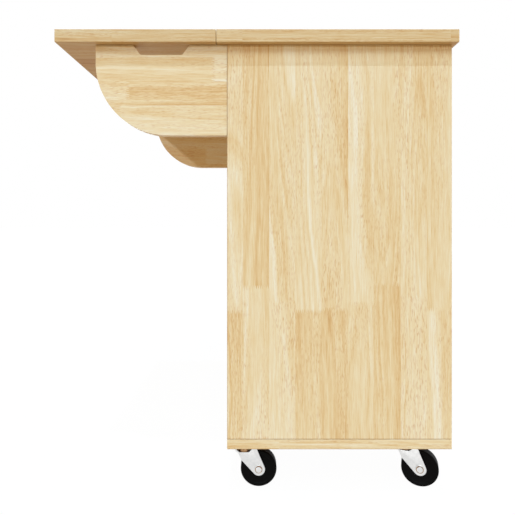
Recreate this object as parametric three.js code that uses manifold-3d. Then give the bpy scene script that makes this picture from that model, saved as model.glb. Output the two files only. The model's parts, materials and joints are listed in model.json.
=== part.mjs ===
// A kitchen island cart in edge-glued rubberwood: a cabinet with one drawer and two doors on four
// swivel casters, and a worktop whose hinged leaf rests on two swing-out brackets.
//
// Millimetres, +Z up. The origin is on the floor, under the centre of the whole cart. The cart's
// length runs along Y, its front faces +X and the leaf reaches out towards -X.

import * as THREE from "three";
import { mergeVertices } from "three/addons/utils/BufferGeometryUtils.js";
import Module from "manifold-3d";

const wasm = await Module();
wasm.setup();

// ---------------------------------------------------------------- driving dimensions

const BOARD = 19; // thickness of the carcass boards
const GAP = 0.3; // left between two pieces that touch
const HEIGHT = 914; // floor to the worktop's upper face
const TOP_THICKNESS = 24.4;
const CASTER_HEIGHT = 100; // floor to the underside of the base board

const CABINET_LENGTH = 580; // along Y
const CABINET_DEPTH = 438.6; // along X
const worktop = { back: 20, front: 8.6, end: 15 }; // how far it stands past the cabinet
const leaf = { depth: 310, seam: 0.8 };
const knob = { length: 24, radius: 15, neck: 7.5, foot: 10, tip: 10 };

// The leaf's outer edge and the knobs' ends are equally far from the origin.
const REACH = (leaf.depth + leaf.seam + worktop.back + CABINET_DEPTH + knob.length) / 2;
const FRONT_X = REACH - knob.length; // the cabinet's front face
const BACK_X = FRONT_X - CABINET_DEPTH; // the cabinet's back face
const SEAM_X = BACK_X - worktop.back - leaf.seam / 2; // the middle of the seam at the leaf
const END_Y = CABINET_LENGTH / 2; // the outer face of an end panel
const INNER_Y = END_Y - BOARD; // the inner face of an end panel
const FLOOR_Z = CASTER_HEIGHT + BOARD; // the cabinet's floor
const TOP_Z = HEIGHT - TOP_THICKNESS; // the worktop's underside

const BACK_PANEL = 12;
const TOP_RAIL_DEPTH = 80;
const middleRail = { depth: 60, z: 719 }; // z of its underside
const DRAWER_FLOOR_Z = middleRail.z + BOARD;
const DOOR_GAP = 2; // around the doors and the drawer front

const shelf = { z: 405, setback: 34 };
const shelfPin = { inset: 60, radius: 2.5, length: 20, inWood: 8 };
const pinHoles = { pitch: 50, each: 3, radius: 2.8, depth: 12 };

// heights on a knob, as shares of its length: the neck, then the widest part
const KNOB_NECK = [0.22, 0.4];
const KNOB_BELLY = [0.62, 0.8];

const drawer = { side: 12, height: 100, depth: 385, bottom: 5, bottomRise: 6, outerY: 254 };
const runner = { ledge: 28, height: 18, lip: 16.4, lipHeight: 20 };

const DOOR_KNOB = { inset: 32, drop: 95 }; // from the door's free edge and from its top

const bracket = { length: 256.2, height: 176.5, corner: 142, topGap: 0.5 };
const notch = { width: 109.4, floor: 82, depth: 18.6, fillet: 5 };

// `standoff` is how far the pin's axis stands off the two faces that the hinge joins.
const leafHinge = { length: 64, thickness: 1.6, barrel: 3.4, pin: 1.6, standoff: 4, knuckles: 3 };
const PLATE_CLEARANCE = 0.4; // from a barrel to its own plate
const PIN_SETBACK = 1; // from a barrel's ends to its pin's ends
const LEAF_PLATE = 18.5; // width of the fixed plate, under the worktop's overhang
const LEAF_FLAP = 38;
const LEAF_HINGE_Y = 145; // where the bracket's notch passes as it swings
const bracketHinge = { length: 150, thickness: 1.2, barrel: 1.9, pin: 0.9, standoff: 2.2, knuckles: 5 };
const BRACKET_PLATE = 20;
const doorHinge = { length: 50, thickness: 1.5, barrel: 2.2, pin: 1.1, standoff: 2.3, knuckles: 3 };
const DOOR_PLATE = 20;
const DOOR_HINGE_Z = [FLOOR_Z + 85, middleRail.z - 85];

const caster = {
  backInset: 31.7, // from the cabinet's back face to the swivel
  frontInset: 71.3, // from the cabinet's front face to the swivel
  endInset: { back: 60, front: 68 }, // from the cabinet's end face to the swivel
  trail: 30, // from the swivel to the axle
  turned: { front_near: -18 }, // degrees about the swivel, away from trailing along +X
  plate: 60,
  plateThickness: 2.5,
};
const wheel = { radius: 37, width: 24, shoulder: 3.5, hub: 10, bore: 4.4, recess: 1.6, rim: 6 };
const fork = {
  sheet: 1.8,
  inner: 12.6, // from the middle to a leg's inner face
  top: 84,
  foot: 12.8, // radius of a leg's round foot
  heel: 17.5, // the leg's upper back corner, past the swivel
  bend: [5.4, 18.2], // the corner below it: past the swivel, and above the axle
  toe: 6.3, // the leg's upper front corner, behind the axle
  cupZ: 71.8,
  cupRadius: 17,
  cupFlare: 1, // how much wider the cup's floor is outside
  cone: 5, // height of the cup's sloping part
  rimRadius: 21,
  relief: 1.2, // clearance cut over the wheel
};
const kingpin = { radius: 4.5, head: 6.5, headZ: 67, race: 13.5, raceZ: 85 };
const dustCap = { inner: 20.5, outer: 22.5, rise: 1.5 }; // the flare above the upper race
const axle = { radius: 4, head: 7.5, headThickness: 2.6, chamfer: 0.8 };

const doorCatch = { length: 44, depth: 20, height: 12 };

const JOIN = 1; // how far joined pieces run into each other, and cutters past a face
const BEYOND = 40; // how far a large cutter reaches past a caster's middle

// sides of the round pieces
const SIDES = { pin: 8, barrel: 10, bore: 12, turned: 16, cup: 20, tread: 24, relief: 32 };

// ---------------------------------------------------------------- materials

const paint = (color, roughness, metalness = 0) =>
  new THREE.MeshStandardMaterial({ color, roughness, metalness });

const wood = paint(0xe2c998, 0.5);
const plywood = paint(0xdcc49a, 0.6);
const zinc = paint(0xc9ccd0, 0.3, 1);
const brass = paint(0xb9a06a, 0.35, 1);
const rubber = paint(0x141414, 0.6);
const plastic = paint(0xe9e4da, 0.45);

// ---------------------------------------------------------------- solids

// A closed geometry as a solid that can be joined and cut.
function solidOf(geometry) {
  const bare = geometry.index ? geometry.toNonIndexed() : geometry.clone();
  bare.deleteAttribute("normal");
  bare.deleteAttribute("uv");
  const merged = mergeVertices(bare, 1e-4);
  return new wasm.Manifold(
    new wasm.Mesh({
      numProp: 3,
      vertProperties: new Float32Array(merged.attributes.position.array),
      triVerts: new Uint32Array(merged.index.array),
    }),
  );
}

function geometryOf(solid) {
  const { vertProperties, triVerts } = solid.getMesh();
  const geometry = new THREE.BufferGeometry()
    .setAttribute("position", new THREE.BufferAttribute(vertProperties, 3))
    .setIndex(new THREE.BufferAttribute(triVerts, 1));
  geometry.computeVertexNormals();
  return geometry;
}

// The first geometry with those of `added` joined on and those of `removed` cut away.
function built(first, added, removed = []) {
  let solid = solidOf(first);
  for (const geometry of added) solid = solid.add(solidOf(geometry));
  for (const geometry of removed) solid = solid.subtract(solidOf(geometry));
  return geometryOf(solid);
}

// The lower and the higher of two values.
const ordered = (a, b) => [Math.min(a, b), Math.max(a, b)];

// A box between two values along each axis.
function block([x0, x1], [y0, y1], [z0, z1]) {
  return new THREE.BoxGeometry(x1 - x0, y1 - y0, z1 - z0).translate(
    (x0 + x1) / 2,
    (y0 + y1) / 2,
    (z0 + z1) / 2,
  );
}

// A round bar along Z, from z0 to z1.
function rod(radius, z0, z1, sides) {
  return new THREE.CylinderGeometry(radius, radius, z1 - z0, sides)
    .rotateX(Math.PI / 2)
    .translate(0, 0, (z0 + z1) / 2);
}

// A turned piece about Y. The profile lists [radius, y] from low y to high y.
function turned(profile, sides) {
  const points = profile.map(([radius, y]) => new THREE.Vector2(radius, y));
  return new THREE.LatheGeometry(points, sides);
}

function piece(name, geometry, material, [x, y, z] = [0, 0, 0]) {
  const mesh = new THREE.Mesh(geometry, material);
  mesh.name = name;
  mesh.position.set(x, y, z);
  return mesh;
}

// A board between two values along each axis.
function board(name, xs, ys, zs, material = wood) {
  const middle = [xs, ys, zs].map(([low, high]) => (low + high) / 2);
  const size = [xs, ys, zs].map(([low, high]) => high - low);
  return piece(name, new THREE.BoxGeometry(...size), material, middle);
}

// The two ends of the cart, as a name and the sign of their Y.
const ENDS = [
  ["near", -1],
  ["far", 1],
];

// ---------------------------------------------------------------- butt hinges

// Half a butt hinge. Its pin runs along Z through the origin, its plate reaches along +X, and the
// surface that it is screwed to faces the pin from `side` (1 for +Y, -1 for -Y) at `standoff`.
// The fixed half carries the pin, and the moving half is bored to turn on it.
function hingeHalf(hinge, width, side, fixed) {
  const { length, thickness, barrel, pin, standoff, knuckles: count } = hinge;
  const outer = side * (standoff - GAP);
  const ys = ordered(outer, outer - side * thickness);
  const pitch = length / count;
  const play = fixed ? 0 : GAP;
  const plate = block([barrel + PLATE_CLEARANCE, width], ys, [-length / 2, length / 2]);
  const knuckles = [];
  for (let n = fixed ? 0 : 1; n < count; n += 2) {
    const z0 = -length / 2 + n * pitch + play;
    const z1 = -length / 2 + (n + 1) * pitch - play;
    const web = block([0, barrel + PLATE_CLEARANCE + JOIN], ys, [z0, z1]);
    knuckles.push(rod(barrel, z0, z1, SIDES.barrel), web);
  }
  const core = rod(pin, PIN_SETBACK - length / 2, length / 2 - PIN_SETBACK, SIDES.pin);
  const bore = rod(pin + GAP, -length / 2 - JOIN, length / 2 + JOIN, SIDES.pin);
  return fixed ? built(plate, [...knuckles, core]) : built(plate, knuckles, [bore]);
}

// A hinge: `fixed` and `moving` say how wide each half's plate is, how it is turned about the
// pin, in quarter turns from +X, and which side of it its surface is on.
function buttHinge(names, hinge, fixed, moving, material) {
  const group = new THREE.Group();
  [fixed, moving].forEach(({ width, quarters, side }, n) => {
    const half = piece(names[n], hingeHalf(hinge, width, side, n === 0), material);
    half.rotation.z = (quarters * Math.PI) / 2;
    group.add(half);
  });
  return group;
}

// ---------------------------------------------------------------- cabinet

// Pockets that let a door hinge's plates in, at one Y face of an end panel or of a door. The
// wood lies towards `into` (1 for +Y, -1 for -Y).
function hingePockets(face, into) {
  const depth = doorHinge.standoff - DOOR_GAP / 2;
  const half = doorHinge.length / 2 + GAP;
  return DOOR_HINGE_Z.map((z) =>
    block(
      [FRONT_X - DOOR_PLATE, FRONT_X + JOIN],
      ordered(face - into, face + into * depth),
      [z - half, z + half],
    ),
  );
}

const pinXs = [BACK_X + BACK_PANEL + shelfPin.inset, FRONT_X - BOARD - shelfPin.inset];
const PIN_Z = shelf.z - shelfPin.radius - GAP;

function endPanel(name, sign) {
  const panel = block([BACK_X, FRONT_X], ordered(sign * INNER_Y, sign * END_Y), [
    FLOOR_Z + GAP,
    TOP_Z - GAP,
  ]);
  const holes = pinXs.flatMap((x) =>
    Array.from({ length: pinHoles.each }, (_, n) =>
      rod(pinHoles.radius, -pinHoles.depth, JOIN, SIDES.barrel)
        .rotateX((sign * Math.PI) / 2)
        .translate(x, sign * INNER_Y, PIN_Z + (n - 1) * pinHoles.pitch),
    ),
  );
  return piece(name, built(panel, [], [...holes, ...hingePockets(sign * INNER_Y, sign)]), wood);
}

function cabinet() {
  const group = new THREE.Group();
  const across = [-INNER_Y + GAP, INNER_Y - GAP];
  const shelfXs = [BACK_X + BACK_PANEL + GAP, FRONT_X - BOARD - shelf.setback];
  const railZs = [TOP_Z - BOARD, TOP_Z - GAP];
  const catchX = FRONT_X - BOARD - GAP;
  const catchZ = middleRail.z - GAP;
  group.add(
    board("base_board", [BACK_X, FRONT_X], [-END_Y, END_Y], [CASTER_HEIGHT, FLOOR_Z]),
    board("back_panel", [BACK_X, BACK_X + BACK_PANEL], across, [FLOOR_Z + GAP, TOP_Z - GAP]),
    board("front_top_rail", [FRONT_X - TOP_RAIL_DEPTH, FRONT_X], across, railZs),
    board("middle_rail", [FRONT_X - middleRail.depth, FRONT_X], across, [
      middleRail.z,
      DRAWER_FLOOR_Z,
    ]),
    board("shelf", shelfXs, across, [shelf.z, shelf.z + BOARD]),
    board(
      "door_catch",
      [catchX - doorCatch.depth, catchX],
      [-doorCatch.length / 2, doorCatch.length / 2],
      [catchZ - doorCatch.height, catchZ],
      plastic,
    ),
  );
  for (const [end, sign] of ENDS) {
    group.add(endPanel(`end_panel_${end}`, sign));
    pinXs.forEach((x, n) => {
      const { radius, length, inWood } = shelfPin;
      const pin = rod(radius, -inWood, length - inWood, SIDES.barrel).rotateX((sign * Math.PI) / 2);
      const name = `shelf_pin_${end}_${["back", "front"][n]}`;
      group.add(piece(name, pin, zinc, [x, sign * INNER_Y, PIN_Z]));
    });
  }
  return group;
}

// ---------------------------------------------------------------- drawer

// A turned knob that stands out along +X from a face.
function turnedKnob(name, face, y, z) {
  const { length, radius, neck, foot, tip } = knob;
  const profile = [
    [0, 0],
    [foot, 0],
    ...KNOB_NECK.map((share) => [neck, length * share]),
    ...KNOB_BELLY.map((share) => [radius, length * share]),
    [tip, length - GAP],
    [0, length - GAP],
  ];
  const geometry = turned(profile, SIDES.turned).rotateZ(-Math.PI / 2);
  return piece(name, geometry, wood, [face + GAP, y, z]);
}

// An L of wood at the +Y end: the drawer's side slides on its ledge and along its lip.
function runnerGeometry(xs) {
  const wall = INNER_Y - GAP;
  const { ledge, height, lip, lipHeight } = runner;
  const base = block(xs, [wall - ledge, wall], [DRAWER_FLOOR_Z - height, DRAWER_FLOOR_Z]);
  const uprightZs = [DRAWER_FLOOR_Z - JOIN, DRAWER_FLOOR_Z + lipHeight];
  const upright = block(xs, [wall - lip, wall], uprightZs);
  return built(base, [upright]);
}

function drawerAndRunners() {
  const group = new THREE.Group();
  const boxXs = [FRONT_X - BOARD - GAP - drawer.depth, FRONT_X - BOARD - GAP];
  const boxZs = [DRAWER_FLOOR_Z + GAP, DRAWER_FLOOR_Z + GAP + drawer.height];
  const bottomZ = boxZs[0] + drawer.bottomRise;
  const bottomTop = bottomZ + drawer.bottom;
  const frontZs = [DRAWER_FLOOR_Z + DOOR_GAP, TOP_Z - BOARD - DOOR_GAP];
  const frontYs = [DOOR_GAP - INNER_Y, INNER_Y - DOOR_GAP];
  const innerY = drawer.outerY - drawer.side - GAP;
  group.add(
    board("drawer_front", [FRONT_X - BOARD, FRONT_X], frontYs, frontZs),
    board("drawer_back", [boxXs[0], boxXs[0] + drawer.side], [-innerY, innerY], [
      bottomTop + GAP,
      boxZs[1],
    ]),
    board("drawer_bottom", boxXs, [-innerY, innerY], [bottomZ, bottomTop], plywood),
    turnedKnob("drawer_knob", FRONT_X, 0, (frontZs[0] + frontZs[1]) / 2),
  );
  const runnerXs = [BACK_X + BACK_PANEL + GAP, FRONT_X - middleRail.depth - GAP];
  for (const [end, sign] of ENDS) {
    const sideYs = ordered(sign * (drawer.outerY - drawer.side), sign * drawer.outerY);
    const rail = piece(`drawer_runner_${end}`, runnerGeometry(runnerXs), wood);
    if (sign < 0) {
      rail.rotation.z = Math.PI;
      rail.position.x = runnerXs[0] + runnerXs[1];
    }
    group.add(rail, board(`drawer_side_${end}`, boxXs, sideYs, boxZs));
  }
  return group;
}

// ---------------------------------------------------------------- doors

function doors() {
  const group = new THREE.Group();
  const zs = [FLOOR_Z + DOOR_GAP, middleRail.z - DOOR_GAP];
  for (const [end, sign] of ENDS) {
    const hinged = sign * (INNER_Y - DOOR_GAP);
    const free = (sign * DOOR_GAP) / 2;
    const slab = block([FRONT_X - BOARD, FRONT_X], ordered(hinged, free), zs);
    group.add(
      piece(`door_${end}`, built(slab, [], hingePockets(hinged, -sign)), wood),
      turnedKnob(`door_knob_${end}`, FRONT_X, sign * DOOR_KNOB.inset, zs[1] - DOOR_KNOB.drop),
    );
    DOOR_HINGE_Z.forEach((z, n) => {
      const where = `${end}_${["lower", "upper"][n]}`;
      const hinge = buttHinge(
        [`door_hinge_plate_${where}`, `door_hinge_flap_${where}`],
        doorHinge,
        { width: DOOR_PLATE, quarters: 2, side: -sign },
        { width: DOOR_PLATE, quarters: 2, side: sign },
        brass,
      );
      hinge.position.set(FRONT_X + doorHinge.barrel + GAP, sign * (INNER_Y - DOOR_GAP / 2), z);
      group.add(hinge);
    });
  }
  return group;
}

// ---------------------------------------------------------------- worktop and leaf

function worktopAndLeaf() {
  const group = new THREE.Group();
  const ys = [-END_Y - worktop.end, END_Y + worktop.end];
  const zs = [TOP_Z, HEIGHT];
  group.add(
    board("worktop", [BACK_X - worktop.back, FRONT_X + worktop.front], ys, zs),
    board("drop_leaf", [-REACH, leaf.depth - REACH], ys, zs),
  );
  for (const [end, sign] of ENDS) {
    const hinge = buttHinge(
      [`leaf_hinge_plate_${end}`, `leaf_hinge_flap_${end}`],
      leafHinge,
      { width: LEAF_PLATE, quarters: 0, side: -1 },
      { width: LEAF_FLAP, quarters: 2, side: 1 },
      zinc,
    );
    hinge.rotation.x = -Math.PI / 2;
    hinge.position.set(SEAM_X, sign * LEAF_HINGE_Y, TOP_Z - leafHinge.standoff);
    group.add(hinge);
  }
  return group;
}

// ---------------------------------------------------------------- leaf brackets

// The bracket's outline: x runs from its outer end (-length) to the cabinet (0), and y from its
// lower edge (-height) to its upper edge (0), which has a notch in its middle.
function bracketOutline() {
  const { length, height, corner } = bracket;
  const middle = -length / 2;
  const slope = (notch.width - notch.floor) / 2;
  const along = notch.fillet / Math.hypot(slope, notch.depth);
  const shape = new THREE.Shape();
  shape.moveTo(0, 0);
  shape.lineTo(0, -height);
  shape.lineTo(corner - length, -height);
  shape.absarc(corner - length, corner - height, corner, -Math.PI / 2, -Math.PI, true);
  shape.lineTo(-length, 0);
  shape.lineTo(middle - notch.width / 2, 0);
  for (const sign of [-1, 1]) {
    const foot = middle + (sign * notch.floor) / 2;
    const onSlope = [foot + sign * slope * along, -notch.depth * (1 - along)];
    const onFloor = [foot - sign * notch.fillet, -notch.depth];
    const [from, to] = sign < 0 ? [onSlope, onFloor] : [onFloor, onSlope];
    shape.lineTo(...from);
    shape.quadraticCurveTo(foot, -notch.depth, ...to);
  }
  shape.lineTo(middle + notch.width / 2, 0);
  shape.closePath();
  return shape;
}

function brackets() {
  const group = new THREE.Group();
  const options = { depth: BOARD, bevelEnabled: false, curveSegments: 10 };
  const geometry = new THREE.ExtrudeGeometry(bracketOutline(), options)
    .rotateX(Math.PI / 2)
    .translate(0, BOARD, 0);
  const topZ = TOP_Z - bracket.topGap;
  for (const [end, sign] of ENDS) {
    const lowY = sign < 0 ? -END_Y : INNER_Y;
    group.add(piece(`leaf_bracket_${end}`, geometry, wood, [BACK_X - GAP, lowY, topZ]));
    const hinge = buttHinge(
      [`bracket_hinge_plate_${end}`, `bracket_hinge_flap_${end}`],
      bracketHinge,
      { width: BRACKET_PLATE, quarters: -sign, side: sign },
      { width: BRACKET_PLATE, quarters: 2, side: -sign },
      zinc,
    );
    const pinY = sign * (INNER_Y - bracketHinge.standoff);
    hinge.position.set(BACK_X - bracketHinge.standoff, pinY, topZ - bracket.height / 2);
    group.add(hinge);
  }
  return group;
}

// ---------------------------------------------------------------- casters

// One leg of the fork, seen along Y, with the axle at the origin and the swivel at -x.
function forkLeg() {
  const { foot, top, heel, toe } = fork;
  const topY = top - wheel.radius;
  const back = [-caster.trail - heel, topY];
  const bend = [-caster.trail - fork.bend[0], fork.bend[1]];
  const front = [-toe, topY];
  // the angle on the foot's circle where a line from a point touches it
  const touch = ([x, y], turn) => Math.atan2(y, x) + turn * Math.acos(foot / Math.hypot(x, y));
  const shape = new THREE.Shape();
  shape.moveTo(...back);
  shape.lineTo(...bend);
  shape.absarc(0, 0, foot, touch(bend, 1), 2 * Math.PI + touch(front, -1), false);
  shape.lineTo(...front);
  shape.closePath();
  const options = { depth: fork.sheet, bevelEnabled: false, curveSegments: 8 };
  return new THREE.ExtrudeGeometry(shape, options).rotateX(Math.PI / 2);
}

// The fork: two legs joined by a dished cup that runs under the upper race. The cup is cut off
// flush with the legs, and relieved over the wheel.
function casterFork() {
  const { sheet, inner, top, cupZ, cupRadius, rimRadius } = fork;
  const legY = inner + sheet;
  const coneZ = cupZ + fork.cone;
  const cup = turned(
    [
      [0, cupZ - sheet],
      [cupRadius + fork.cupFlare, cupZ - sheet],
      [rimRadius + sheet, coneZ],
      [rimRadius + sheet, top],
      [0, top],
    ],
    SIDES.cup,
  ).rotateX(Math.PI / 2);
  const hollow = turned(
    [
      [0, cupZ],
      [cupRadius, cupZ],
      [rimRadius, coneZ],
      [rimRadius, top + JOIN],
      [0, top + JOIN],
    ],
    SIDES.cup,
  ).rotateX(Math.PI / 2);
  const alongY = (radius, halfLength, sides) =>
    rod(radius, -halfLength, halfLength, sides)
      .rotateX(Math.PI / 2)
      .translate(caster.trail, 0, wheel.radius);
  const legs = [legY, -inner].map((y) => forkLeg().translate(caster.trail, y, wheel.radius));
  const outside = [-1, 1].map((sign) =>
    block([-BEYOND, BEYOND], ordered(sign * legY, sign * BEYOND), [cupZ - BEYOND, top + JOIN]),
  );
  const kingpinHole = rod(kingpin.radius + GAP, cupZ - sheet - JOIN, cupZ + JOIN, SIDES.bore);
  return built(cup, legs, [
    hollow,
    kingpinHole,
    ...outside,
    alongY(wheel.radius + fork.relief, inner, SIDES.relief),
    alongY(axle.radius + GAP, BEYOND, SIDES.bore),
  ]);
}

// The mounting plate, with the upper race and the kingpin that holds the fork up.
function casterPlate() {
  const { plate, plateThickness } = caster;
  const plateZ = CASTER_HEIGHT - GAP - plateThickness;
  const half = plate / 2;
  const { radius, head, headZ, race, raceZ } = kingpin;
  const stem = turned(
    [
      [0, headZ],
      [head, headZ],
      [head, fork.cupZ - fork.sheet - GAP],
      [radius, fork.cupZ - fork.sheet - GAP],
      [radius, fork.cupZ + GAP],
      [race, fork.cupZ + GAP],
      [race, raceZ],
      [dustCap.inner, raceZ + dustCap.rise],
      [dustCap.outer, plateZ + JOIN],
      [0, plateZ + JOIN],
    ],
    SIDES.turned,
  ).rotateX(Math.PI / 2);
  return built(block([-half, half], [-half, half], [plateZ, plateZ + plateThickness]), [stem]);
}

// The wheel: a round-shouldered tread, dished sides and a hub as wide as the tread.
function wheelGeometry() {
  const { radius, width, shoulder, hub, bore, recess, rim } = wheel;
  const edge = width / 2;
  const side = [
    [bore, edge],
    [hub, edge],
    [hub + recess, edge - recess],
    [radius - rim, edge - recess],
    [radius - shoulder, edge],
    [radius, edge - shoulder],
  ];
  const mirrored = side.map(([r, y]) => [r, -y]);
  return turned([...mirrored, ...side.reverse(), mirrored[0]], SIDES.tread);
}

// The axle: a rivet with a head outside each leg.
function axleGeometry() {
  const face = fork.inner + fork.sheet + GAP;
  const end = face + axle.headThickness;
  const half = [
    [axle.radius, face],
    [axle.head, face],
    [axle.head - axle.chamfer, end],
    [0, end],
  ];
  const mirrored = half.map(([r, y]) => [r, -y]).reverse();
  return turned([...mirrored, ...half], SIDES.turned);
}

// A caster whose swivel stands on the origin.
function swivelCaster(name) {
  const group = new THREE.Group();
  const axlePlace = [caster.trail, 0, wheel.radius];
  group.add(
    piece(`caster_plate_${name}`, casterPlate(), zinc),
    piece(`caster_fork_${name}`, casterFork(), zinc),
    piece(`caster_axle_${name}`, axleGeometry(), zinc, axlePlace),
    piece(`caster_wheel_${name}`, wheelGeometry(), rubber, axlePlace),
  );
  return group;
}

function casters() {
  const group = new THREE.Group();
  const rows = [
    ["back", BACK_X + caster.backInset],
    ["front", FRONT_X - caster.frontInset],
  ];
  for (const [row, x] of rows) {
    for (const [end, sign] of ENDS) {
      const name = `${row}_${end}`;
      const one = swivelCaster(name);
      one.position.set(x, sign * (END_Y - caster.endInset[row]), 0);
      one.rotation.z = THREE.MathUtils.degToRad(caster.turned[name] ?? 0);
      group.add(one);
    }
  }
  return group;
}

// ---------------------------------------------------------------- the cart

const cart = new THREE.Group();
cart.add(cabinet(), drawerAndRunners(), doors(), worktopAndLeaf(), brackets(), casters());

export default cart;
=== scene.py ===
import json
import math

import bmesh
import bpy
from mathutils import Matrix, Vector


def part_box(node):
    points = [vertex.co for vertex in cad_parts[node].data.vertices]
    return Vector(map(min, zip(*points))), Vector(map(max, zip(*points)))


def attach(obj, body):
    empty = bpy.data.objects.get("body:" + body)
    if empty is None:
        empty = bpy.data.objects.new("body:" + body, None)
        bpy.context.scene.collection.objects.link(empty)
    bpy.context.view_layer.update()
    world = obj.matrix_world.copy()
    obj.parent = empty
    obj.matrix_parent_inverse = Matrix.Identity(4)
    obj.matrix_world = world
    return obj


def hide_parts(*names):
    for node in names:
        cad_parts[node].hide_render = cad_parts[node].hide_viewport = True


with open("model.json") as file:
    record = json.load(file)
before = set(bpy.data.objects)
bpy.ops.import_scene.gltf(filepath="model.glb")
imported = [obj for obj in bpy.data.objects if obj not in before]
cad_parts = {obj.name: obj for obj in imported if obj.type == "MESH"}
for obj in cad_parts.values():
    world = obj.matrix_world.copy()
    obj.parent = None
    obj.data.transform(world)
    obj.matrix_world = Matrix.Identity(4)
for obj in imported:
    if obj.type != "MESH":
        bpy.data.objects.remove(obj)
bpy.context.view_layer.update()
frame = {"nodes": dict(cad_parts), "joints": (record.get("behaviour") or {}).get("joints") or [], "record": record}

MM = 0.001
ENDS = (("near", -1), ("far", 1))
ROWS = ("back", "front")
BODY_OF = {
    node: body
    for body, nodes in frame["record"]["behaviour"]["bodies"].items()
    for node in nodes
}
X, Y, Z = 0, 1, 2


def rgb(red, green, blue):
    """A colour given as 8-bit sRGB, as the linear colour that a shader takes."""

    def linear(value):
        value /= 255
        return value / 12.92 if value <= 0.04045 else ((value + 0.055) / 1.055) ** 2.4

    return (linear(red), linear(green), linear(blue), 1.0)


# ---------------------------------------------------------------- node trees


class Graph:
    """Short calls that build a node tree."""

    def __init__(self, tree):
        self.tree = tree
        tree.nodes.clear()

    def feed(self, socket, value):
        if isinstance(value, bpy.types.NodeSocket):
            self.tree.links.new(value, socket)
        else:
            socket.default_value = value

    def add(self, kind, inputs=(), **settings):
        node = self.tree.nodes.new(kind)
        for name, value in settings.items():
            setattr(node, name, value)
        for name, value in dict(inputs).items():
            self.feed(node.inputs[name], value)
        return node

    def math(self, operation, *values):
        node = self.add("ShaderNodeMath", operation=operation)
        for socket, value in zip(node.inputs, values):
            self.feed(socket, value)
        return node.outputs[0]

    def scaled(self, value, factor, plus=0.0):
        return self.math("MULTIPLY_ADD", value, factor, plus)

    def ramp(self, value, low, high, to_low=0.0, to_high=1.0):
        inputs = {"Value": value, "From Min": low, "From Max": high, "To Min": to_low, "To Max": to_high}
        return self.add("ShaderNodeMapRange", inputs).outputs[0]

    def xyz(self, x, y, z):
        return self.add("ShaderNodeCombineXYZ", {"X": x, "Y": y, "Z": z}).outputs[0]

    def noise(self, vector, scale=1.0, detail=2.0, roughness=0.5):
        inputs = {"Vector": vector, "Scale": scale, "Detail": detail, "Roughness": roughness}
        return self.add("ShaderNodeTexNoise", inputs).outputs["Fac"]

    def mix(self, factor, first, second):
        node = self.add("ShaderNodeMix", {"Factor": factor}, data_type="RGBA")
        # the node has a pair of inputs for each data type, and these are the colours
        self.feed(node.inputs[6], first)
        self.feed(node.inputs[7], second)
        return node.outputs[2]

    def colors(self, value, stops):
        node = self.add("ShaderNodeValToRGB", {"Fac": value})
        elements = node.color_ramp.elements
        while len(elements) < len(stops):
            elements.new(0.5)
        for element, (position, color) in zip(elements, stops):
            element.position = position
            element.color = color
        return node.outputs["Color"]

    def position(self):
        return self.add("ShaderNodeTexCoord").outputs["Object"]

    def axes(self, position):
        return self.add("ShaderNodeSeparateXYZ", {"Vector": position}).outputs

    def surface(self, height, bump, reach, **inputs):
        """The material's shader, with a bump of a strength and a reach in metres from a height."""
        shader = self.add("ShaderNodeBsdfPrincipled")
        for name, value in inputs.items():
            self.feed(shader.inputs[name.replace("_", " ")], value)
        bumped = self.add("ShaderNodeBump", {"Height": height, "Strength": bump, "Distance": reach})
        self.feed(shader.inputs["Normal"], bumped.outputs[0])
        output = self.add("ShaderNodeOutputMaterial")
        self.feed(output.inputs["Surface"], shader.outputs[0])


def material_graph(name):
    material = bpy.data.materials.new(name)
    material.use_nodes = True
    return material, Graph(material.node_tree)


# ---------------------------------------------------------------- wood

STRIP = 51.3 * MM  # width of a glued strip
FINGER = 3.8 * MM  # pitch of the fingers where two lengths of a strip meet
FINGER_LENGTH = 9 * MM

WOOD_STOPS = [
    (0.0, rgb(194, 145, 88)),
    (0.3, rgb(220, 184, 129)),
    (0.6, rgb(231, 208, 163)),
    (0.8, rgb(236, 220, 185)),
    (1.0, rgb(240, 231, 208)),
]
TONE_LOW = 0.46  # where on the stops the darkest length of a strip lies
TONE_RANGE = 0.3  # and how far above it the palest lies
PORE = rgb(200, 138, 72)
PORE_STRENGTH = 0.42
SHADE = rgb(72, 44, 14)
# painted shade: the brown and the strength of the thin dark lines at seams, where gaps and downward edges are in
# shade
SEAM_SHADE_BROWN = rgb(150, 94, 42)
SEAM_SHADE_STRENGTH = 0.62


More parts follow.
